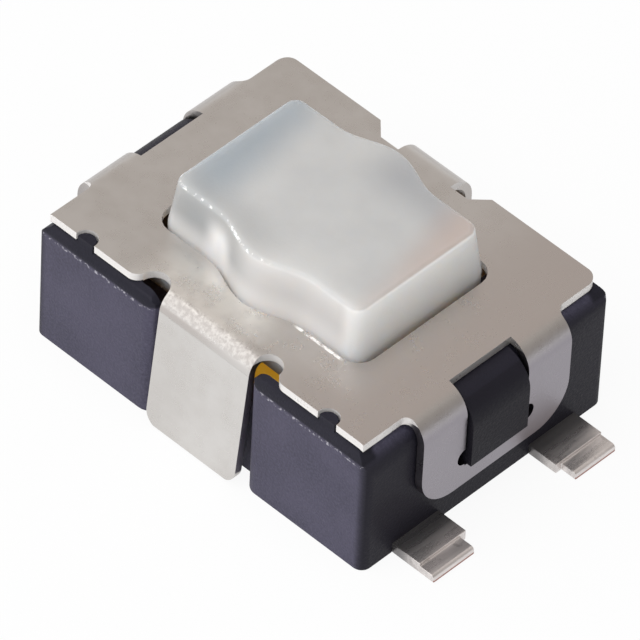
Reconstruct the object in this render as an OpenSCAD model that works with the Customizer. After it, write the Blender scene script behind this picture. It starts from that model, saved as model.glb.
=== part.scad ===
/* [Base] */
// Length of the moulded base
body_l = 4.0; // [3.8:0.05:4.6]
// Width of the moulded base
body_w = 3.0; // [2.9:0.05:3.4]
// Height of the base
body_top = 1.4; // [1.36:0.01:1.6]
// Radius of the base's upright corners
corner_r = 0.1; // [0.05:0.01:0.15]
// Radius along the top of the base's long sides
side_edge_r = 0.15; // [0.1:0.01:0.18]
// How much larger than the end flanges' bend the radius along the top of the base's ends is
end_ease = 0.1; // [0.03:0.01:0.12]
// Depth of the recess behind the front tab
recess_d = 0.16; // [0.12:0.01:0.18]
// Gap between the base and the sides of the front tab and of the rear reliefs
recess_gap = 0.02; // [0.01:0.01:0.05]
// Radius of the base's upright corners beside its recesses
recess_r = 0.15; // [0.08:0.01:0.16]
// Radius of the base's top corners beside its recesses
recess_top_r = 0.2; // [0.12:0.01:0.24]

/* [Well] */
// Height of the well's floor, where the dome stands
seat_z = 0.62; // [0.6:0.01:0.67]
// Height of the film's ledge above the well's floor
ledge_rise = 0.24; // [0.22:0.01:0.26]
// Radius of the round well
well_r = 1.02; // [1:0.01:1.06]
// Thickness of the base's walls along its sides
side_wall = 0.26; // [0.24:0.01:0.32]
// Thickness of the base's walls beside the button's flange
pocket_wall = 0.11; // [0.08:0.01:0.13]
// Thickness of the base's walls at its ends
end_wall = 0.55; // [0.5:0.01:0.6]
// Radius of the cavity's upright corners
cavity_r = 0.15; // [0.1:0.01:0.25]

/* [Button] */
// Height of the button's top above the board
button_top = 2.0; // [1.85:0.01:2.3]
// Length of the button where it leaves the cover
button_l = 2.34; // [2.2:0.01:2.4]
// How far the button's long sides bulge out
bulge_rise = 0.155; // [0.08:0.005:0.18]
// Length of each bulge
bulge_l = 1.17; // [0.9:0.01:1.4]
// Plan radius of the button's corners
button_corner_r = 0.12; // [0.1:0.01:0.2]
// Inward lean of the button's walls
button_draft = 6.5; // [4:0.5:10]
// Radius round the button's top edge
button_edge_r = 0.05; // [0.03:0.01:0.07]
// Length of the button's flange under the cover
flange_l = 2.06; // [1.9:0.01:2.2]
// Thickness of the button's flange
flange_t = 0.17; // [0.15:0.01:0.18]
// Radius of the nub under the button
nub_r = 0.35; // [0.25:0.01:0.45]
// Travel of the button
travel = 0.2; // [0.15:0.01:0.22]

/* [Cover] */
// Thickness of the cover's sheet
sheet = 0.08; // [0.07:0.01:0.1]
// Setback of the plate from the base's ends
plate_end_inset = 0.11; // [0.06:0.01:0.13]
// Setback of the plate from the base's sides
plate_side_inset = 0.05; // [0.03:0.01:0.08]
// Radius of the two rounded corners of the plate
plate_corner_r = 0.13; // [0.06:0.01:0.15]
// Inner radius of the end flanges' bend
end_bend_r = 0.2; // [0.14:0.01:0.22]
// Width of each end flange
end_flange_w = 1.82; // [1.6:0.01:2]
// Height of an end flange's lower edge above the board
end_flange_z = 0.38; // [0.3:0.01:0.45]
// Radius of an end flange's lower corners
end_flange_corner_r = 0.4; // [0.15:0.01:0.45]
// Radius where an end flange leaves the plate
end_root_r = 0.09; // [0.05:0.01:0.12]
// Width of the window in each end flange
window_w = 0.76; // [0.6:0.01:0.9]
// How far the window reaches into the plate from the base's end
window_reach = 0.14; // [0.1:0.005:0.18]
// Height of the window's sill above the board
window_z = 0.61; // [0.54:0.01:0.68]
// Radius of the round notches at the window's lower corners
ear_r = 0.09; // [0.05:0.01:0.11]
// Height of those notches above the sill
ear_lift = 0.02; // [0.01:0.01:0.04]
// Width of the plate between the opening's bulge and the front tab
rim_w = 0.245; // [0.22:0.005:0.3]
// Width of the front tab
front_tab_w = 1.08; // [0.9:0.01:1.2]
// Inner radius of the front tab's bend
front_bend_r = 0.13; // [0.1:0.01:0.16]
// Outward lean of the front tab
front_tab_splay = 6; // [3:0.5:8]
// Width of the relief beside the front tab
front_relief_w = 0.28; // [0.22:0.01:0.34]
// Radius of the plate's corners beside the front tab
mouth_r = 0.12; // [0.06:0.01:0.15]
// Width of the rear tab
rear_tab_w = 0.63; // [0.5:0.01:0.8]
// Distance of the rear tab's middle from the cover's middle
rear_tab_x = 0.065; // [0:0.005:0.1]
// Width of the relief beside the rear tab
rear_relief_w = 0.36; // [0.3:0.01:0.42]
// Depth of the relief beside the rear tab
rear_relief_d = 0.15; // [0.1:0.01:0.18]
// Height of both tabs' lower edges above the board
tab_z = 0.03; // [0.01:0.01:0.1]
// Radius of both tabs' lower corners
tab_corner_r = 0.15; // [0.08:0.01:0.2]
// Radius of the opening's corners
opening_r = 0.19; // [0.12:0.01:0.25]
// Distance of the edge notches from the middle
notch_x = 1.46; // [1.35:0.01:1.55]
// Width of the edge notches
notch_w = 0.22; // [0.15:0.01:0.3]
// Depth of the edge notches
notch_d = 0.12; // [0.08:0.01:0.16]

/* [Catches] */
// How far a catch stands out past the end flange
catch_out = 0.05; // [0.03:0.01:0.08]
// Height of a catch's flat face
catch_face_h = 0.45; // [0.3:0.01:0.5]
// How far the bosses in the edge notches stop below the cover's top
boss_drop = 0.02; // [0.01:0.01:0.05]

/* [Contacts] */
// Thickness of the contact frames
frame_t = 0.11; // [0.08:0.01:0.12]
// Length of each lead outside the base
lead_l = 0.5; // [0.4:0.01:0.8]
// Width of each lead
lead_w = 0.57; // [0.5:0.01:0.66]
// Distance of a lead's outer edge from the base's side
lead_inset = 0.37; // [0.33:0.005:0.42]
// Length of a lead's narrowed tip
tip_l = 0.17; // [0.1:0.01:0.22]
// How much narrower the tip is
tip_step = 0.07; // [0.04:0.01:0.1]
// How much thinner the coined tip is
tip_coin = 0.03; // [0.01:0.01:0.04]
// Radius along the tip's upper edge
tip_edge_r = 0.04; // [0.02:0.01:0.05]
// Inner radius of the bends in the contact frames
frame_bend_r = 0.06; // [0.05:0.01:0.08]
// Distance from the base's end to the frames' risers
riser_inset = 0.4; // [0.3:0.01:0.45]
// How far the rim contact's ring reaches inside the dome's rim
ring_seat = 0.21; // [0.18:0.01:0.24]
// How far the ring reaches into the base outside the well
ring_hold = 0.06; // [0.04:0.01:0.08]
// Depth of the centre contact's bar below the well's floor
centre_drop = 0.17; // [0.16:0.01:0.2]
// Width of the centre contact's tongue
tongue_w = 0.44; // [0.3:0.01:0.5]
// Radius of the pad at the tongue's end
pad_r = 0.3; // [0.26:0.01:0.35]
// Outer radius of the raised cup on that pad
cup_r = 0.2; // [0.17:0.01:0.22]

/* [Dome and film] */
// Height of the snap dome
dome_h = 0.295; // [0.27:0.005:0.3]
// Thickness of the snap dome
dome_t = 0.05; // [0.04:0.01:0.06]
// Thickness of the sealing film
film_t = 0.05; // [0.03:0.01:0.06]
// How far the raised middle of the film stays inside the dome's rim
film_rise_inset = 0.1; // [0.05:0.01:0.15]

/* [Clearances] */
// Gap between the top of a catch and the cover's plate
catch_drop = 0.02; // [0.01:0.01:0.03]
// Gap between the end flanges and the base
end_gap = 0.02; // [0.01:0.01:0.04]
// Gap between the front tab and the back of its recess
tab_gap = 0.04; // [0.02:0.01:0.06]
// Gap between a boss and its notch
boss_gap = 0.02; // [0.01:0.01:0.04]
// Gap between a catch and its window
catch_gap = 0.03; // [0.02:0.01:0.05]
// Gap between the button's flange and the cavity's walls
flange_gap = 0.04; // [0.03:0.01:0.05]
// Gap between the button's flange and the cover
lift_gap = 0.01; // [0.005:0.005:0.02]
// Gap between the button's ends and the cover's opening
opening_gap_x = 0.075; // [0.05:0.005:0.12]
// Gap between the button's sides and the cover's opening
opening_gap_y = 0.04; // [0.03:0.01:0.07]
// Gap between the dome's rim and the well's wall
dome_gap = 0.07; // [0.05:0.01:0.1]
// Gap between the film and the cavity's walls
film_gap = 0.02; // [0.01:0.01:0.04]
// Gap between the dome, the film and the nub
stack_gap = 0.005; // [0.002:0.001:0.01]
// Gap left between the pressed dome and the cup
cup_gap = 0.015; // [0.005:0.005:0.02]

/* [Hidden] */
$fn = 48;
past = 1;
arc_steps = 5;
bulge_steps = 20;
edge_steps = 4;

half_l = body_l / 2;
half_w = body_w / 2;
cover_top = body_top + sheet;
flange_top = body_top - lift_gap;
flange_z = flange_top - flange_t;
ledge_z = seat_z + ledge_rise;
cavity_l = body_l - 2 * end_wall;
cavity_w = body_w - 2 * side_wall;
flange_w = cavity_w - 2 * flange_gap;

plate_l = body_l - 2 * plate_end_inset;
plate_w = body_w - 2 * plate_side_inset;
notch_y = plate_w / 2 - notch_d;
front_bend_y = half_w - recess_d + tab_gap - front_bend_r;
front_relief_y = front_bend_y + front_bend_r * cos(front_tab_splay);
front_drop = body_top - front_bend_r - tab_z + front_bend_r * sin(front_tab_splay);
front_leg_l = front_drop / cos(front_tab_splay);
tab_reach = front_relief_y + sheet * cos(front_tab_splay) + front_leg_l * sin(front_tab_splay);
rear_root_y = plate_w / 2 - rear_relief_d;
rear_bend_r = tab_reach - rear_root_y - sheet;
rear_recess_d = half_w - rear_root_y;
button_w = 2 * (front_bend_y - rim_w - opening_gap_y - bulge_rise);

lead_y = half_w - lead_inset - lead_w / 2;
lead_x = half_l + lead_l;
tip_t = frame_t - tip_coin;
riser_x = half_l - riser_inset;
rim_z = seat_z - frame_t;
centre_z = seat_z - centre_drop - frame_t;

dome_r = well_r - dome_gap;
ring_inner_r = dome_r - ring_seat;
ring_outer_r = well_r + ring_hold;
dome_top = seat_z + dome_h;
cup_z = dome_top - dome_t - travel - cup_gap;
dome_out_r = (pow(dome_r, 2) + pow(dome_h, 2)) / (2 * dome_h);
film_top = ledge_z + film_t;
film_apex = dome_top + stack_gap + film_t;
film_rise = film_apex - film_top;
film_rise_r = dome_r - film_rise_inset;
film_out_r = (pow(film_rise_r, 2) + pow(film_rise, 2)) / (2 * film_rise);
nub_z = film_apex + stack_gap;

// Points of a circular arc
function arc(cx, cy, r, from, to) =
    [for (i = [0:arc_steps])
        let (a = from + (to - from) * i / arc_steps)
        [cx + r * cos(a), cy + r * sin(a)]];

// Points of one bulged long side, which swells and falls as a cosine
function bulge(b, side) =
    [for (i = [0:bulge_steps])
        let (x = side * bulge_l / 2 * (1 - 2 * i / bulge_steps))
        [x, side * (b + bulge_rise * (1 + cos(360 * x / bulge_l)) / 2)]];

// Closed outline with round corners and two bulged long sides
function bulged_outline(a, b, r) =
    concat(
        arc(a - r, r - b, r, -90, 0),
        arc(a - r, b - r, r, 0, 90),
        bulge(b, 1),
        arc(r - a, b - r, r, 90, 180),
        arc(r - a, r - b, r, 180, 270),
        bulge(b, -1)
    );

// Solid through a stack of outlines that have equally many points, closed by fans about its axis
module loft(outlines, heights) {
    n = len(outlines[0]);
    m = len(outlines);
    points = concat(
        [for (k = [0:m - 1]) for (p = outlines[k]) [p[0], p[1], heights[k]]],
        [[0, 0, heights[0]], [0, 0, heights[m - 1]]]
    );
    sides = [for (k = [0:m - 2]) for (i = [0:n - 1])
        [k * n + i, (k + 1) * n + i, (k + 1) * n + (i + 1) % n, k * n + (i + 1) % n]];
    foot = [for (i = [0:n - 1]) [m * n, i, (i + 1) % n]];
    top = [for (i = [0:n - 1]) [m * n + 1, (m - 1) * n + (i + 1) % n, (m - 1) * n + i]];
    polyhedron(points, concat(foot, sides, top));
}

// Rectangle about the origin with round corners
module rounded(l, w, r) {
    square([l - 2 * r, w], center = true);
    square([l, w - 2 * r], center = true);
    for (x = [-1, 1], y = [-1, 1])
        translate([x * (l / 2 - r), y * (w / 2 - r)]) circle(r);
}

// Rectangle that stands on the first axis with its two upper corners round
module arched(l, h, r) {
    translate([-l / 2, 0]) square([l, h - r]);
    translate([r - l / 2, 0]) square([l - 2 * r, h]);
    for (x = [-1, 1]) translate([x * (l / 2 - r), h - r]) circle(r);
}

// Quarter of a bent sheet, from the first axis to the second
module quarter_bend(inner, t) {
    intersection() {
        difference() {
            circle(inner + t);
            circle(inner);
        }
        square(inner + t);
    }
}

// Sets a drawing upright across the length, and centres its thickness
module across(thickness) {
    rotate([90, 0, 0]) linear_extrude(thickness, center = true) children();
}

// Sets a drawing upright along the length, and centres its thickness
module along(thickness) {
    rotate([90, 0, 90]) linear_extrude(thickness, center = true) children();
}

// Notch up to an edge that lies across the second axis, with round corners at its mouth
module notch(half, bottom, edge, r) {
    translate([-half, bottom]) square([2 * half, edge - bottom + past]);
    for (x = [0, 1]) mirror([x, 0]) translate([half, edge - r]) difference() {
        square([r, past]);
        translate([r, 0]) circle(r);
    }
}

// Cutter for a recess in the rear side, which opens into the cavity above the film's ledge
module recess(half, depth) {
    translate([0, 0, -past])
        linear_extrude(body_top + 2 * past) notch(half, half_w - depth, half_w, recess_r);
    translate([0, half_w, 0]) across(half_w) notch(half, ledge_z, body_top, recess_top_r);
}

// Block of the base with round top edges
module base_block() {
    intersection() {
        linear_extrude(body_top) rounded(body_l, body_w, corner_r);
        across(body_w + past) arched(body_l, body_top, end_bend_r + end_ease);
        along(body_l + past) arched(body_w, body_top, side_edge_r);
    }
}

// Catch in an end flange's window, flat outside and round above
module catch() {
    catch_r = body_top - catch_drop - window_z - catch_face_h;
    root_x = half_l + end_gap + sheet + catch_out - catch_r;
    across(window_w - 2 * catch_gap) {
        translate([root_x, window_z]) square([catch_r, catch_face_h]);
        translate([root_x, window_z + catch_face_h]) intersection() {
            circle(catch_r);
            square(catch_r);
        }
    }
}

// Boss that stands in an edge notch of the cover, flat on its outer side
module boss() {
    intersection() {
        translate([notch_x, -notch_y - notch_w / 2, body_top - side_edge_r])
            cylinder(sheet + side_edge_r - boss_drop, r = notch_w / 2 - boss_gap);
        translate([0, -plate_w / 2, 0]) cube([body_l, plate_w, body_l]);
    }
}

module base_housing() {
    color([0.2, 0.2, 0.23])
    difference() {
        union() {
            base_block();
            for (x = [0, 1]) mirror([x, 0, 0]) {
                catch();
                boss();
            }
        }
        translate([0, 0, seat_z]) cylinder(body_top, r = well_r);
        translate([0, 0, ledge_z]) linear_extrude(body_top) rounded(cavity_l, cavity_w, cavity_r);
        translate([0, 0, ledge_z + body_top / 2])
            cube([flange_l + 2 * flange_gap, body_w - 2 * pocket_wall, body_top], center = true);
        mirror([0, 1, 0]) recess(front_tab_w / 2 + recess_gap, recess_d);
        translate([-rear_tab_x, 0, 0])
            recess(rear_tab_w / 2 + rear_relief_w + recess_gap, rear_recess_d);
        rim_shape();
        centre_shape();
    }
}

// Side view of a strip that steps from an inner level down to the board, with a coined tip
module lead_profile(level) {
    outer = frame_bend_r + frame_t;
    foot_x = riser_x + frame_bend_r;
    translate([0, level]) square([riser_x - outer, frame_t]);
    translate([riser_x - outer, level - frame_bend_r]) quarter_bend(frame_bend_r, frame_t);
    translate([riser_x - frame_t, outer]) square([frame_t, level - frame_bend_r - outer]);
    translate([foot_x, outer]) rotate(180) quarter_bend(frame_bend_r, frame_t);
    translate([foot_x, 0]) square([lead_x - tip_l - foot_x, frame_t]);
    translate([foot_x, 0]) square([lead_x - foot_x, tip_t - tip_edge_r]);
    translate([foot_x, 0]) square([lead_x - tip_edge_r - foot_x, tip_t]);
    translate([lead_x - tip_edge_r, tip_t - tip_edge_r]) circle(tip_edge_r);
}

// Strip on the rear side with a lead at its end, whose tip is narrowed
module lead_strip(level) {
    difference() {
        translate([0, lead_y, 0]) across(lead_w) lead_profile(level);
        translate([lead_x - tip_l, lead_y - lead_w / 2 - past, -past])
            cube([past, past + tip_step, 2 * past]);
    }
}

// Frame whose ring carries the dome's rim
module rim_shape() {
    difference() {
        union() {
            mirror([0, 1, 0]) lead_strip(rim_z);
            translate([0, 0, rim_z]) cylinder(frame_t, r = ring_outer_r);
        }
        translate([0, 0, rim_z - past / 2]) cylinder(past, r = ring_inner_r);
    }
}

module rim_contact() {
    color([0.72, 0.7, 0.68]) rim_shape();
}

// Frame whose cup the dome snaps down on
module centre_shape() {
    difference() {
        union() {
            lead_strip(centre_z);
            translate([-tongue_w / 2, 0, centre_z]) cube([tongue_w, lead_y + lead_w / 2, frame_t]);
            translate([0, 0, centre_z]) cylinder(frame_t, r = pad_r);
            translate([0, 0, centre_z]) cylinder(cup_z - centre_z, r = cup_r);
        }
        translate([0, 0, centre_z - past]) cylinder(cup_z - frame_t - centre_z + past, r = cup_r - frame_t);
    }
}

module centre_contact() {
    color([0.72, 0.7, 0.68]) centre_shape();
}

module snap_dome() {
    color([0.78, 0.78, 0.76])
    difference() {
        translate([0, 0, dome_top - dome_out_r]) difference() {
            sphere(dome_out_r, $fn = 96);
            sphere(dome_out_r - dome_t, $fn = 96);
        }
        translate([0, 0, seat_z - body_l]) cube(2 * body_l, center = true);
    }
}

module sealing_film() {
    color([0.8, 0.55, 0.15])
    difference() {
        union() {
            translate([0, 0, ledge_z]) cylinder(film_t, r = cavity_w / 2 - film_gap);
            intersection() {
                translate([0, 0, film_apex - film_out_r]) sphere(film_out_r, $fn = 96);
                translate([0, 0, ledge_z]) cylinder(past, r = film_rise_r + film_t);
            }
        }
        translate([0, 0, film_apex - film_out_r]) sphere(film_out_r - film_t, $fn = 96);
    }
}

// Outline of the button at a height above the cover, drawn in by the lean of its walls
function button_outline(height, inset) =
    let (shrink = height * tan(button_draft) + inset)
    bulged_outline(button_l / 2 - shrink, button_w / 2 - shrink, button_corner_r - inset);

module push_button() {
    top = button_top - cover_top;
    shoulder = top - button_edge_r;
    turns = [for (i = [0:edge_steps]) 90 * i / edge_steps];
    outlines = concat(
        [button_outline(0, 0), button_outline(0, 0)],
        [for (a = turns) button_outline(shoulder, button_edge_r * (1 - cos(a)))]
    );
    heights = concat([flange_z - cover_top, 0], [for (a = turns) shoulder + button_edge_r * sin(a)]);
    color([0.86, 0.88, 0.9]) union() {
        translate([0, 0, cover_top]) loft(outlines, heights);
        translate([0, 0, flange_z]) linear_extrude(flange_t) rounded(flange_l, flange_w, button_corner_r);
        translate([0, 0, nub_z]) cylinder(flange_top - nub_z, r = nub_r);
    }
}

// Side view of the plate with both end flanges
module end_profile() {
    bend_x = half_l + end_gap - end_bend_r;
    translate([-bend_x, body_top]) square([2 * bend_x, sheet]);
    for (x = [0, 1]) mirror([x, 0]) {
        translate([bend_x, body_top - end_bend_r]) quarter_bend(end_bend_r, sheet);
        translate([half_l + end_gap, end_flange_z]) square([sheet, body_top - end_bend_r - end_flange_z]);
    }
}

// Slots with a round inner end that free both sides of the front tab, drawn towards the rear
module front_reliefs() {
    relief_r = front_relief_w / 2;
    mouth_x = front_tab_w / 2 + front_relief_w;
    for (x = [0, 1]) mirror([x, 0]) {
        translate([front_tab_w / 2 + relief_r, front_relief_y]) circle(relief_r);
        translate([front_tab_w / 2, front_relief_y]) square([front_relief_w, past]);
        translate([mouth_x, plate_w / 2 - mouth_r]) difference() {
            square([mouth_r, past]);
            translate([mouth_r, 0]) circle(mouth_r);
        }
    }
}

// Flared slots that free both sides of the rear tab
module rear_reliefs() {
    inner_x = rear_tab_w / 2;
    outer_x = inner_x + rear_relief_w;
    for (x = [0, 1]) mirror([x, 0])
        polygon([
            [inner_x, rear_root_y], [outer_x - rear_relief_d, rear_root_y], [outer_x, plate_w / 2],
            [outer_x, plate_w / 2 + past], [inner_x, plate_w / 2 + past]
        ]);
}

// Plan of the cover without its side tabs
module cover_plan() {
    difference() {
        union() {
            translate([0, -plate_w / 2]) arched(plate_l, plate_w, plate_corner_r);
            square([body_l + past, end_flange_w], center = true);
            for (x = [0, 1], y = [0, 1]) mirror([x, 0]) mirror([0, y])
                translate([plate_l / 2, end_flange_w / 2]) difference() {
                    square(end_root_r);
                    translate([end_root_r, end_root_r]) circle(end_root_r);
                }
        }
        polygon(bulged_outline(button_l / 2 + opening_gap_x, button_w / 2 + opening_gap_y, opening_r));
        translate([-front_tab_w / 2 - front_relief_w / 2, -front_bend_y - past])
            square([front_tab_w + front_relief_w, past]);
        mirror([0, 1]) front_reliefs();
        translate([-rear_tab_x, 0]) {
            translate([-rear_tab_w / 2, rear_root_y]) square([rear_tab_w, past]);
            rear_reliefs();
        }
        for (x = [-1, 1]) translate([x * notch_x, -notch_y - notch_w / 2]) {
            circle(notch_w / 2);
            translate([-notch_w / 2, -past]) square([notch_w, past]);
        }
    }
}

// End view of a bent strip that leans outward, with its bend's centre at the origin
module tab_bend(bend_r, splay) {
    difference() {
        quarter_bend(bend_r, sheet);
        rotate(splay) translate([0, -past]) square(past);
    }
}

// Side tab towards the rear, bent down from the plate's edge, with round lower corners
module side_tab(w, root_w, bend_y, bend_r, splay, leg_l) {
    translate([0, bend_y, body_top - bend_r]) {
        along(root_w) tab_bend(bend_r, splay);
        intersection() {
            along(w) rotate(splay) translate([bend_r, -leg_l]) square([sheet, leg_l]);
            translate([0, 0, bend_r * sin(splay) - leg_l * cos(splay)])
                across(body_w) translate([0, leg_l]) mirror([0, 1]) arched(w, leg_l, tab_corner_r);
        }
    }
}

// Window in an end flange, with a round notch at each lower corner
module window() {
    translate([half_l - window_reach, -window_w / 2, window_z]) cube([past, window_w, body_top]);
    for (y = [-1, 1])
        translate([half_l, y * window_w / 2, window_z + ear_lift + ear_r]) along(past) circle(ear_r);
}

// Cutter that rounds the lower corners of an end flange
module flange_corners() {
    r = end_flange_corner_r;
    for (y = [0, 1]) mirror([0, y, 0])
        translate([half_l + past / 2, end_flange_w / 2 - r, end_flange_z]) along(past) difference() {
            translate([0, -past]) square([r + past, r + past]);
            translate([0, r]) circle(r);
        }
}

module metal_cover() {
    color([0.74, 0.71, 0.67]) union() {
        difference() {
            intersection() {
                across(plate_w) end_profile();
                linear_extrude(cover_top + past) cover_plan();
            }
            for (x = [0, 1]) mirror([x, 0, 0]) {
                window();
                flange_corners();
            }
        }
        mirror([0, 1, 0]) difference() {
            side_tab(
                front_tab_w, front_tab_w + front_relief_w, front_bend_y, front_bend_r,
                front_tab_splay, front_leg_l
            );
            linear_extrude(cover_top + past) front_reliefs();
        }
        translate([-rear_tab_x, 0, 0])
            side_tab(rear_tab_w, rear_tab_w, rear_root_y, rear_bend_r, 0, body_top - rear_bend_r - tab_z);
    }
}

base_housing();
rim_contact();
centre_contact();
snap_dome();
sealing_film();
push_button();
metal_cover();
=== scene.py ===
"""Looks of a small tactile push button switch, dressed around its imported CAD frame."""
import math

import bpy
from mathutils import Matrix, Vector

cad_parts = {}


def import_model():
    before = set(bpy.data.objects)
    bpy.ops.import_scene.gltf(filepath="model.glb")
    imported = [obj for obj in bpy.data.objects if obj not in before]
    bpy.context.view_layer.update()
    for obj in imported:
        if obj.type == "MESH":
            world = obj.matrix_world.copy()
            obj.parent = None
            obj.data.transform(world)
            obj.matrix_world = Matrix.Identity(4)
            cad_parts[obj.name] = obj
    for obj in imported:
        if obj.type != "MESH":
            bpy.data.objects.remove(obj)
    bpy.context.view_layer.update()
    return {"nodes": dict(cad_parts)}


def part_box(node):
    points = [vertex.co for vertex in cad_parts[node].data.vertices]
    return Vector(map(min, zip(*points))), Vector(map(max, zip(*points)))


MM = 0.001

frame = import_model()
nodes = frame["nodes"]


def highest(node):
    """The highest X, Y and Z of a CAD node, in millimetres."""
    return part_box(node)[1] / MM


# Sizes and places that the part's source sets, in millimetres
SHEET = 0.08
END_BEND_RADIUS = 0.2
FLANGE_PROUD = 0.1
EDGE_ROUNDING = 0.15
WINDOW_HALF = 0.38
FRONT_BEND = -1.25
REAR_BEND = 1.3
OPENING_FRONT = -0.85

# Places that follow from the nodes, in millimetres
PLATE_TOP = highest("metal_cover").z
PLATE_UNDERSIDE = PLATE_TOP - SHEET
FLANGE_FACE = highest("metal_cover").x
END_BEND = FLANGE_FACE - SHEET - END_BEND_RADIUS
END_WALL = FLANGE_FACE - FLANGE_PROUD
SIDE_WALL = highest("base_housing").y
ROUNDING = PLATE_UNDERSIDE - EDGE_ROUNDING
LEAD_TIP = highest("rim_contact").x
BUTTON_TOP = highest("push_button").z


# Node helpers

class Tree:
    """A short way to write a node tree."""

    def __init__(self, owner):
        owner.use_nodes = True
        self.tree = owner.node_tree
        self.tree.nodes.clear()

    def set(self, socket, value):
        """Links a socket to the value, or writes the value on it."""
        if isinstance(value, bpy.types.NodeSocket):
            self.tree.links.new(value, socket)
        else:
            socket.default_value = value

    def add(self, kind, inputs=None, **props):
        node = self.tree.nodes.new(kind)
        for name, value in props.items():
            setattr(node, name, value)
        for name, value in (inputs or {}).items():
            self.set(node.inputs[name], value)
        return node

    def math(self, operation, *values):
        node = self.add("ShaderNodeMath", operation=operation)
        for socket, value in zip(node.inputs, values):
            self.set(socket, value)
        return node.outputs[0]

    def mix(self, factor, a, b):
        """Colour a where the factor is 0 and colour b where it is 1."""
        node = self.add("ShaderNodeMix", {0: factor, 6: a, 7: b}, data_type="RGBA")
        return node.outputs[2]

    def ramp(self, value, low, high, to_low=0.0, to_high=1.0):
        """A smooth step from to_low, where the value is low, to to_high."""
        node = self.add(
            "ShaderNodeMapRange",
            {"Value": value, "From Min": low, "From Max": high, "To Min": to_low, "To Max": to_high},
            interpolation_type="SMOOTHSTEP",
        )
        return node.outputs["Result"]

    def place(self, scale=(1.0, 1.0, 1.0)):
        """Position in the part's own frame, in millimetres times scale."""
        where = self.add("ShaderNodeTexCoord").outputs["Object"]
        mapping = self.add("ShaderNodeMapping", {"Vector": where, "Scale": [s / MM for s in scale]})
        return mapping.outputs["Vector"]

    def axes(self, vector):
        """The X, Y and Z of a vector."""
        return self.add("ShaderNodeSeparateXYZ", {"Vector": vector}).outputs[:3]

    def noise(self, scale, detail=3.0, stretch=(1.0, 1.0, 1.0), rough=0.5):
        node = self.add(
            "ShaderNodeTexNoise",
            {"Vector": self.place(stretch), "Scale": scale, "Detail": detail, "Roughness": rough},
        )
        return node.outputs["Fac"]

    def tilt(self):
        """How far the surface faces up or down: 1 for a level face and 0 for an upright wall."""
        normal = self.add("ShaderNodeNewGeometry").outputs["Normal"]
        return self.math("ABSOLUTE", self.axes(normal)[2])

    def near(self, value, middle, inner, outer):
        """1 within inner of the middle, down to 0 at outer."""
        away = self.math("ABSOLUTE", self.math("SUBTRACT", value, middle))
        return self.ramp(away, outer, inner)

    def both(self, *masks):
        """All masks times each other."""
        product = masks[0]
        for mask in masks[1:]:
            product = self.math("MULTIPLY", product, mask)
        return product

    def either(self, *masks):
        """The strongest of the masks."""
        strongest = masks[0]
        for mask in masks[1:]:
            strongest = self.math("MAXIMUM", strongest, mask)
        return strongest

    def weigh(self, a, share, b):
        """A share of a, and b for the rest."""
        return self.math("ADD", self.math("MULTIPLY", a, share), self.math("MULTIPLY", b, 1 - share))

    def bump(self, height, depth_mm, strength=1.0):
        node = self.add(
            "ShaderNodeBump",
            {"Height": height, "Distance": depth_mm * MM, "Strength": strength},
        )
        return node.outputs["Normal"]

    def output(self, surface, kind="ShaderNodeOutputMaterial"):
        self.add(kind, {"Surface": surface})

    def principled(self, inputs):
        self.output(self.add("ShaderNodeBsdfPrincipled", inputs).outputs[0])


def material(name):
    mat = bpy.data.materials.new(name)
    return mat, Tree(mat)


# Materials

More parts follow.
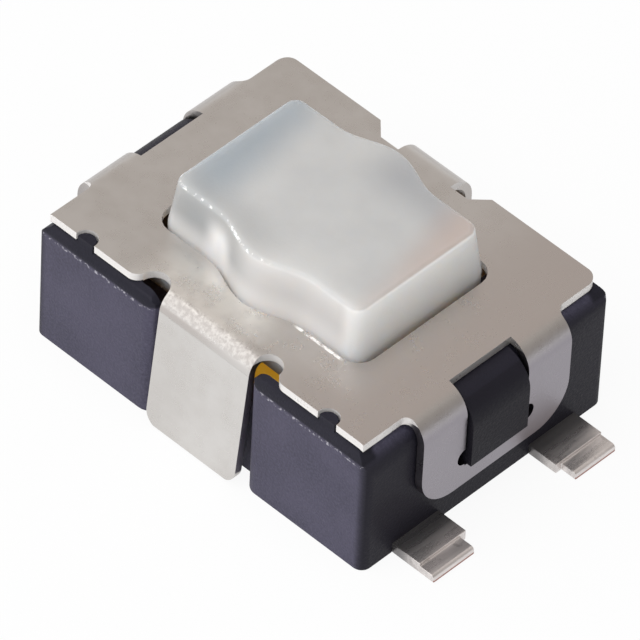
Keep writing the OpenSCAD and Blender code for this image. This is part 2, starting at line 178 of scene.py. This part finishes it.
def cover_metal():
    """Satin sheet metal: soft mottle, fine grain, sheared walls with a painted highlight, painted glints
    on the edges and a painted cool shade on the end flanges.
    """
    mat, t = material("cover_metal")
    x, y, z = t.axes(t.place())
    out, tilt = t.math("ABSOLUTE", x), t.tilt()
    mottle, patches = t.noise(1.1), t.noise(5.0)
    lines = t.noise(7.0, 3.0, (6.0, 0.2, 0.2), 0.6)
    grain = t.noise(38.0, 2.0, rough=0.6)
    speckle = t.noise(27.0, 2.0, rough=0.6)
    sparks = t.noise(17.0, 2.0, rough=0.7)

    # The plate: mottled and streaked, with painted shade that darkens it to the right and a painted
    # reflection of light that lightens its front left
    level = t.ramp(tilt, 0.8, 0.95)
    colour = t.mix(
        t.ramp(t.weigh(mottle, 0.6, patches), 0.35, 0.65), (0.64, 0.615, 0.59, 1), (0.71, 0.69, 0.67, 1)
    )
    streak = t.both(t.ramp(lines, 0.5, 0.72), t.ramp(x, 0.6, 1.6, 0.0, 0.25))
    colour = t.mix(streak, colour, (0.74, 0.72, 0.70, 1))
    shade = t.both(level, t.ramp(x, 0.2, 1.7, 0.0, 0.9))
    colour = t.mix(shade, colour, (0.60, 0.55, 0.525, 1))
    front_left = t.both(t.ramp(y, -0.85, -1.02), t.near(x, -0.25, 0.35, 0.8))
    painted_front_reflection = t.both(level, front_left, t.ramp(patches, 0.3, 0.6, 0.6, 1.0))
    colour = t.mix(painted_front_reflection, colour, (0.97, 0.95, 0.91, 1))

    # The flanges and bends: a painted cool shade on the end flanges, grain on the front bend, painted
    # shade in its crease and painted shade on the far bends
    outwards = t.ramp(out, FLANGE_FACE - 0.22, FLANGE_FACE - 0.06)
    painted_flange_shade = t.both(outwards, t.ramp(z, PLATE_TOP - 0.005, PLATE_TOP - 0.23, 0.0, 0.9))
    colour = t.mix(painted_flange_shade, colour, (0.27, 0.25, 0.285, 1))
    front = t.ramp(y, FRONT_BEND + 0.05, FRONT_BEND)
    bend = t.both(front, t.near(tilt, 0.68, 0.2, 0.3), t.ramp(speckle, 0.66, 0.36, 0.0, 0.7))
    colour = t.mix(bend, colour, (0.47, 0.445, 0.43, 1))
    painted_crease_shade = t.both(front, t.near(tilt, 0.3, 0.08, 0.2), t.ramp(x, 0.5, -0.3, 0.2, 0.7))
    colour = t.mix(painted_crease_shade, colour, (0.50, 0.455, 0.43, 1))
    behind = t.ramp(y, REAR_BEND - 0.15, REAR_BEND - 0.05)
    painted_far_shade = t.either(t.ramp(x, 0.07 - END_BEND, -0.03 - END_BEND), behind)
    colour = t.mix(t.both(painted_far_shade, t.ramp(tilt, 0.97, 0.85, 0.0, 0.8)), colour, (0.45, 0.42, 0.40, 1))

    # The sheared walls, but for most of the windows' own, are paler and less metallic: partly their
    # sheared finish and partly a painted highlight. The edges and the opening's front rim get painted
    # glints.
    at_window = t.near(y, 0.0, WINDOW_HALF + 0.07, WINDOW_HALF + 0.22)
    windows = t.both(at_window, t.ramp(out, 1.6, 1.7, 0.0, 0.8))
    upright = t.both(t.ramp(tilt, 0.35, 0.15), t.ramp(z, PLATE_UNDERSIDE - 0.008, PLATE_UNDERSIDE - 0.002))
    sheared = t.both(upright, t.math("SUBTRACT", 1.0, windows))
    colour = t.mix(sheared, colour, (0.88, 0.85, 0.83, 1))
    painted_sparkle_edge = t.both(t.ramp(tilt, 0.9, 0.8), t.ramp(tilt, 0.25, 0.4))
    painted_edge_glint = t.both(painted_sparkle_edge, t.ramp(z, PLATE_TOP - 0.025, PLATE_TOP - 0.02))
    rim_line = t.near(y, OPENING_FRONT - 0.022, 0.009, 0.02)
    rim = t.both(rim_line, t.near(x, 0.79, 0.24, 0.3), t.ramp(tilt, 0.3, 0.5))
    painted_glint = t.both(t.either(painted_edge_glint, rim), t.ramp(sparks, 0.36, 0.5))
    colour = t.mix(painted_glint, colour, (0.97, 0.95, 0.93, 1))

    # Painted highlight: the sheared walls and the glints are made less metallic, so that they show bright
    painted_bright_share = t.either(t.math("MULTIPLY", sheared, 0.85), painted_glint)
    t.principled({
        "Base Color": colour,
        "Roughness": t.ramp(t.weigh(patches, 0.5, grain), 0.3, 0.7, 0.26, 0.36),
        "Metallic": t.math("SUBTRACT", 1.0, painted_bright_share),
        "Normal": t.bump(t.weigh(lines, 0.25, grain), 0.003, t.ramp(tilt, 0.99, 0.9, 0.15, 0.65)),
    })
    return mat


def base_plastic():
    """Near-black moulded plastic: spark-eroded grain, painted shade on the rounding and the ends, and a
    painted sparkling highlight along the edge line.
    """
    mat, t = material("base_plastic")
    x, y, z = t.axes(t.place())
    out, side = t.math("ABSOLUTE", x), t.math("ABSOLUTE", y)
    grain = t.noise(34.0, 3.0, rough=0.65)
    cloud = t.noise(2.2)
    sparks = t.noise(20.0, 2.0, rough=0.7)
    colour = t.mix(t.ramp(cloud, 0.3, 0.7), (0.066, 0.062, 0.094, 1), (0.084, 0.078, 0.118, 1))
    colour = t.mix(t.ramp(grain, 0.35, 0.7, 0.0, 0.5), colour, (0.120, 0.113, 0.165, 1))

    # Painted shade on the end walls, the catches and the rounding along the top, and a painted sparkling
    # highlight at the rounding's foot
    catch = t.both(
        t.near(y, 0.0, WINDOW_HALF + 0.04, WINDOW_HALF + 0.12),
        t.ramp(out, END_WALL - 0.3, END_WALL - 0.22),
        t.ramp(z, 0.4, 0.6),
    )
    painted_end_shade = t.either(t.ramp(out, END_WALL - 0.13, END_WALL - 0.02), catch)
    colour = t.mix(t.math("MULTIPLY", painted_end_shade, 0.92), colour, (0.015, 0.014, 0.020, 1))
    colour = t.mix(t.ramp(out, END_WALL, END_WALL + 0.02, 0.0, 0.5), colour, (0.012, 0.011, 0.015, 1))
    painted_rounding_shade = t.both(
        t.ramp(z, ROUNDING, ROUNDING + 0.04, 0.0, 0.85),
        t.ramp(side, SIDE_WALL - 0.2, SIDE_WALL - 0.14),
    )
    colour = t.mix(painted_rounding_shade, colour, (0.012, 0.012, 0.017, 1))
    # Painted highlight: a broken sparkling line along the foot of the rounding
    painted_sparkle_edge = t.both(
        t.near(z, ROUNDING + 0.003, 0.008, 0.024),
        t.ramp(side, SIDE_WALL - 0.06, SIDE_WALL - 0.02),
        t.ramp(sparks, 0.50, 0.66),
    )
    colour = t.mix(painted_sparkle_edge, colour, (0.50, 0.49, 0.55, 1))
    t.principled({
        "Base Color": colour,
        "Roughness": t.ramp(grain, 0.3, 0.7, 0.45, 0.6),
        "Specular IOR Level": 0.08,
        "Normal": t.bump(grain, 0.010, 0.7),
        "Coat Weight": 0.08, "Coat Roughness": 0.16,
    })
    return mat


def tinned_lead():
    """Tin plate with soft streaks across the lead, a painted dark reflection of the base near the base,
    and bare copper along the sheared end's foot.
    """
    mat, t = material("tinned_lead")
    x, _, z = t.axes(t.place())
    streaks = t.noise(5.0, 3.0, (3.0, 0.35, 1.0), 0.5)
    spots = t.noise(12.0)
    grain = t.noise(40.0, 2.0)
    colour = t.mix(t.ramp(streaks, 0.3, 0.7), (0.66, 0.62, 0.605, 1), (0.86, 0.81, 0.79, 1))
    colour = t.mix(t.ramp(spots, 0.6, 0.72, 0.0, 0.35), colour, (0.28, 0.25, 0.24, 1))
    # Painted reflection: the lead is darker near the base, where it mirrors the dark end wall
    painted_base_reflection = t.ramp(x, END_WALL + 0.3, END_WALL + 0.08, 0.0, 0.85)
    colour = t.mix(painted_base_reflection, colour, (0.15, 0.145, 0.15, 1))
    copper = t.both(t.ramp(x, LEAD_TIP - 0.012, LEAD_TIP - 0.002), t.ramp(z, 0.035, 0.015))
    colour = t.mix(copper, colour, (0.30, 0.10, 0.07, 1))
    t.principled({
        "Base Color": colour, "Metallic": 0.8,
        "Roughness": t.ramp(streaks, 0.3, 0.7, 0.24, 0.34),
        "Normal": t.bump(t.weigh(streaks, 0.6, grain), 0.003, 0.5),
    })
    return mat


def spring_metal():
    """Bright rolled spring steel."""
    mat, t = material("spring_metal")
    lines = t.noise(8.0, 3.0, (4.0, 0.3, 1.0))
    t.principled({
        "Base Color": t.mix(lines, (0.6, 0.6, 0.58, 1), (0.72, 0.72, 0.7, 1)),
        "Metallic": 1.0, "Roughness": t.ramp(lines, 0.3, 0.7, 0.2, 0.3),
        "Normal": t.bump(lines, 0.001, 0.4),
    })
    return mat


def amber_film():
    """Glossy amber film; its faint glow stands in for the light that a clear film passes."""
    mat, t = material("amber_film")
    cloud = t.noise(3.0)
    t.principled({
        "Base Color": t.mix(t.ramp(cloud, 0.35, 0.65), (0.80, 0.50, 0.06, 1), (0.90, 0.62, 0.12, 1)),
        "Roughness": t.ramp(cloud, 0.3, 0.7, 0.18, 0.28),
        "Normal": t.bump(cloud, 0.004, 0.4),
        "Coat Weight": 0.3, "Coat Roughness": 0.1,
        "Emission Color": (0.60, 0.30, 0.02, 1), "Emission Strength": 0.45,
    })
    return mat


def milky_plastic():
    """Milky button plastic that passes light, with painted shade and light: cool towards the left rim,
    warm towards the right, lighter walls, and a painted glare and sparkles.
    """
    mat, t = material("milky_plastic")
    x, y, z = t.axes(t.place())
    tilt = t.tilt()
    cloud = t.noise(1.6)
    fine = t.noise(26.0, 2.0)
    sparks = t.noise(15.0, 2.0, rough=0.7)

    # Painted shade along each rim, which goes down the walls too: cool grey to the left, back and front,
    # and warm to the right, for the tint of the light inside the plastic
    colour = t.mix(t.ramp(cloud, 0.3, 0.7), (0.57, 0.565, 0.56, 1), (0.62, 0.615, 0.605, 1))
    left = t.ramp(t.math("ADD", x, t.math("MULTIPLY", y, 0.15)), -0.5, -0.98, 0.0, 0.9)
    colour = t.mix(left, colour, (0.37, 0.41, 0.445, 1))
    back = t.both(t.ramp(y, 0.25, 0.75, 0.0, 0.8), t.ramp(x, -0.3, 0.3))
    colour = t.mix(back, colour, (0.41, 0.415, 0.43, 1))
    right = t.ramp(t.math("ADD", x, t.math("MULTIPLY", y, 0.25)), 0.75, 1.2, 0.0, 0.9)
    colour = t.mix(right, colour, (0.55, 0.46, 0.42, 1))
    front = t.both(t.ramp(y, -0.35, -0.8, 0.0, 0.8), t.ramp(x, 0.3, -0.3))
    colour = t.mix(front, colour, (0.44, 0.445, 0.445, 1))

    # The walls, with painted light for the light that passes through the plastic: lighter to the right and
    # low down
    wall = t.ramp(tilt, 0.75, 0.3)
    colour = t.mix(t.both(wall, t.ramp(x, -0.3, 0.1, 0.0, 0.6)), colour, (0.76, 0.74, 0.73, 1))
    colour = t.mix(t.both(wall, t.ramp(x, 0.9, 1.1)), colour, (0.97, 0.93, 0.90, 1))
    low = t.ramp(z, BUTTON_TOP - 0.25, BUTTON_TOP - 0.5, 0.0, 0.7)
    colour = t.mix(t.both(wall, low), colour, (0.95, 0.93, 0.91, 1))

    # Painted highlights: the glare in the front wall's hollow, and the sparkles along the front edge
    # beside it
    hollow = t.both(t.near(x, -0.49, 0.02, 0.24), t.ramp(y, 0.0, -0.5))
    painted_glare = t.both(wall, hollow, t.ramp(z, BUTTON_TOP - 0.04, BUTTON_TOP - 0.3))
    corner = t.both(t.near(tilt, 0.6, 0.15, 0.3), t.ramp(y, -0.5, -0.65), t.ramp(x, 0.3, 0.0))
    painted_sparkle_edge = t.both(corner, t.ramp(sparks, 0.5, 0.66))
    colour = t.mix(t.either(painted_glare, painted_sparkle_edge), colour, (1.0, 0.99, 0.98, 1))
    t.principled({
        "Base Color": colour,
        "Roughness": t.ramp(fine, 0.3, 0.7, 0.32, 0.42),
        "Subsurface Weight": 1.0, "Subsurface Radius": (1.0, 0.9, 0.8),
        "Subsurface Scale": 0.5 * MM,
        "Specular IOR Level": 0.4,
        "Normal": t.bump(fine, 0.003, 0.4),
        "Coat Weight": 0.25, "Coat Roughness": 0.15,
    })
    return mat


lead_finish = tinned_lead()
FINISHES = {
    "base_housing": base_plastic(),
    "rim_contact": lead_finish,
    "centre_contact": lead_finish,
    "snap_dome": spring_metal(),
    "sealing_film": amber_film(),
    "push_button": milky_plastic(),
    "metal_cover": cover_metal(),
}


# CAD pieces

# Widths in millimetres to which sharp edges are broken; the other pieces keep theirs
EDGE_WIDTHS = {"base_housing": 0.012, "rim_contact": 0.008, "centre_contact": 0.008, "metal_cover": 0.010}
EDGE_SEGMENTS = 2
SAME_POINT_MM = 0.0001
FLAT_DEGREES = 1.0
SHARP_DEGREES = 50


def dress(name):
    """Gives a CAD node its finish and smooth shading, welds it, and breaks its sharp edges with modifiers
    where it has an edge width.
    """
    obj = nodes[name]
    mesh = obj.data
    mesh.materials.clear()
    mesh.materials.append(FINISHES[name])
    if "custom_normal" in mesh.attributes:
        mesh.attributes.remove(mesh.attributes["custom_normal"])
    mesh.shade_smooth()
    weld = obj.modifiers.new("weld", "WELD")
    weld.merge_threshold = SAME_POINT_MM * MM
    if name in EDGE_WIDTHS:
        planar = obj.modifiers.new("planar", "DECIMATE")
        planar.decimate_type = "DISSOLVE"
        planar.angle_limit = math.radians(FLAT_DEGREES)
        bevel = obj.modifiers.new("edges", "BEVEL")
        bevel.width = EDGE_WIDTHS[name] * MM
        bevel.segments = EDGE_SEGMENTS
        bevel.limit_method = "ANGLE"
        bevel.angle_limit = math.radians(SHARP_DEGREES)
        bevel.use_clamp_overlap = True
        bevel.harden_normals = True


for name in nodes:
    dress(name)


# Stage

def link(name, data):
    """A new object in the scene."""
    obj = bpy.data.objects.new(name, data)
    bpy.context.scene.collection.objects.link(obj)
    return obj


def floor():
    """White paper just under the part, which takes its shadow and shows near white to the eye."""
    half = 400 * MM
    z = -0.01 * MM
    mesh = bpy.data.meshes.new("floor")
    mesh.from_pydata(
        [(-half, -half, z), (half, -half, z), (half, half, z), (-half, half, z)], [], [(0, 1, 2, 3)]
    )
    link("floor", mesh)
    mat, t = material("floor_paper")
    path = t.add("ShaderNodeLightPath").outputs
    seen = t.math("MULTIPLY", t.either(path["Is Camera Ray"], path["Is Transmission Ray"]), 0.92)
    mirrored = t.math("MULTIPLY", path["Is Glossy Ray"], 0.68)
    paper = t.add("ShaderNodeBsdfDiffuse", {"Color": (0.9, 0.9, 0.9, 1)})
    glow = t.add("ShaderNodeEmission", {"Color": (1, 1, 1, 1), "Strength": 1.0})
    shares = {0: t.either(seen, mirrored), 1: paper.outputs[0], 2: glow.outputs[0]}
    t.output(t.add("ShaderNodeMixShader", shares).outputs[0])
    mesh.materials.append(mat)


def world():
    """A dim room. The eye and metal see it white at the horizon and warm grey above.

    What metal sees of it is darker to the right and the front."""
    w = bpy.data.worlds.new("studio")
    bpy.context.scene.world = w
    t = Tree(w)
    path = t.add("ShaderNodeLightPath").outputs
    seen = t.either(path["Is Camera Ray"], path["Is Glossy Ray"], path["Is Transmission Ray"])
    way_x, way_y, way_z = t.axes(t.add("ShaderNodeTexCoord").outputs["Generated"])
    sky = t.mix(t.ramp(way_z, -0.02, 0.3), (1, 1, 1, 1), (0.60, 0.56, 0.53, 1))
    to_right = t.ramp(way_x, 0.2, 0.7, 1.0, 0.7)
    to_front = t.ramp(way_y, -0.3, -0.7, 0.0, 0.35)
    strength = t.either(t.math("SUBTRACT", to_right, to_front), path["Is Camera Ray"])
    room = t.add("ShaderNodeBackground", {"Color": (1, 1, 1, 1), "Strength": 0.28})
    shown = t.add("ShaderNodeBackground", {"Color": sky, "Strength": strength})
    shares = {0: seen, 1: room.outputs[0], 2: shown.outputs[0]}
    t.output(t.add("ShaderNodeMixShader", shares).outputs[0], "ShaderNodeOutputWorld")


def softbox(name, place, size, power, mirrored=True):
    """A rectangular lamp, in metres and watts, that faces the part."""
    middle = Vector((0, 0, 1 * MM))
    light = bpy.data.lights.new(name, "AREA")
    light.shape = "RECTANGLE"
    light.size, light.size_y = size
    light.energy = power
    obj = link(name, light)
    obj.location = place
    obj.rotation_mode = "QUATERNION"
    obj.rotation_quaternion = (middle - Vector(place)).to_track_quat("-Z", "Y")
    obj.visible_glossy = mirrored


def camera():
    """The photograph's camera, found by fitting the base's and cover's corners."""
    azimuth, elevation, roll = math.radians(42.38), math.radians(45.73), math.radians(3.07)
    distance = 86.67 * MM
    shift_right, shift_up = 0.017 * MM, 0.387 * MM
    lens_px, frame_px, sensor = 9947.9, 640, 36.0
    back = Vector((
        math.sin(azimuth) * math.cos(elevation),
        -math.cos(azimuth) * math.cos(elevation),
        math.sin(elevation),
    ))
    level = Vector((math.cos(azimuth), math.sin(azimuth), 0))
    upright = back.cross(level)
    right = math.cos(roll) * level + math.sin(roll) * upright
    up = -math.sin(roll) * level + math.cos(roll) * upright
    place = right * shift_right + up * shift_up + back * distance
    data = bpy.data.cameras.new("camera")
    data.sensor_width = sensor
    data.lens = lens_px * sensor / frame_px
    data.clip_start, data.clip_end = 0.005, 2.0
    obj = link("camera", data)
    turn = Matrix((right, up, back)).transposed()
    obj.matrix_world = Matrix.Translation(place) @ turn.to_4x4()
    bpy.context.scene.camera = obj


floor()
world()
camera()
softbox("key", place=(-0.061, -0.115, 0.074), size=(0.26, 0.175), power=0.125)
softbox("top", place=(0.0, -0.045, 0.15), size=(0.20, 0.20), power=0.215, mirrored=False)

bpy.context.scene.view_settings.view_transform = "Standard"
